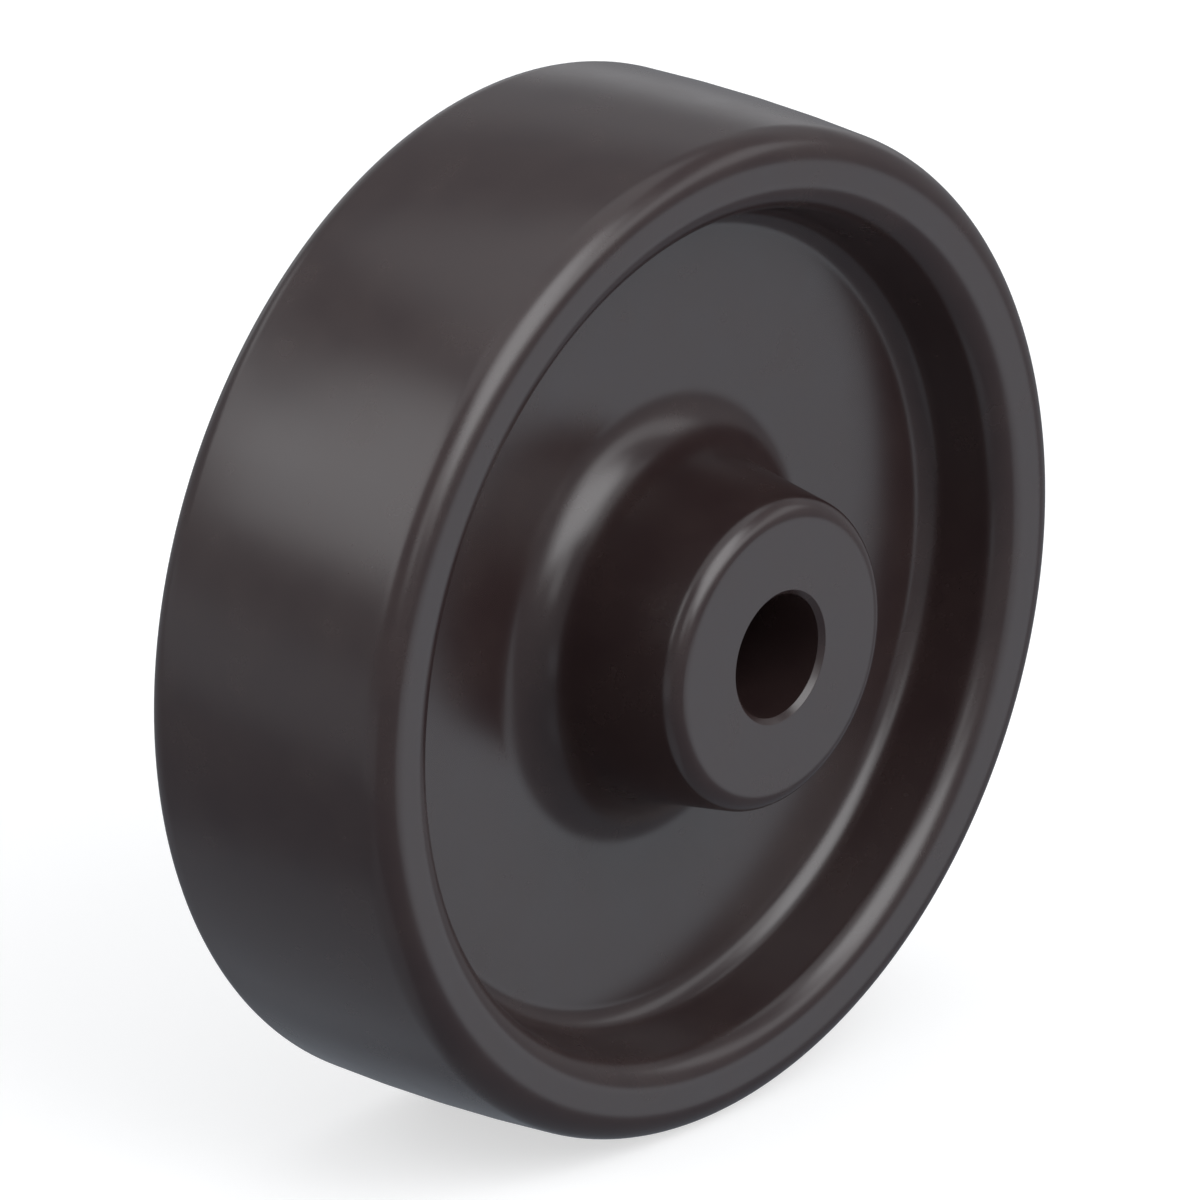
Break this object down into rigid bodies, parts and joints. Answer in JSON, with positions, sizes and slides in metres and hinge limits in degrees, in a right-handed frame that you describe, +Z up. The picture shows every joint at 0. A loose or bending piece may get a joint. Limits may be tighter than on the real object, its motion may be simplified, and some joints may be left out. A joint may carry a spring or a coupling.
{
  "type": "caster wheel",
  "caption": "Solid moulded caster wheel with a lightly crowned tread, a recessed flat web and a protruding hub with a plain axle bore.",
  "frame": {"origin": "centre of the wheel, on the axle's line and on the middle plane of the tread", "axes": "the wheel spins about Y, +Z is up, and the side that the picture shows faces -Y"},
  "size_m": [0.1, 0.045, 0.1],
  "materials": {
    "wheel": "moulded, satin"
  },
  "bodies": {
    "root": {"wheel": "wheel"}
  },
  "joints": []
}
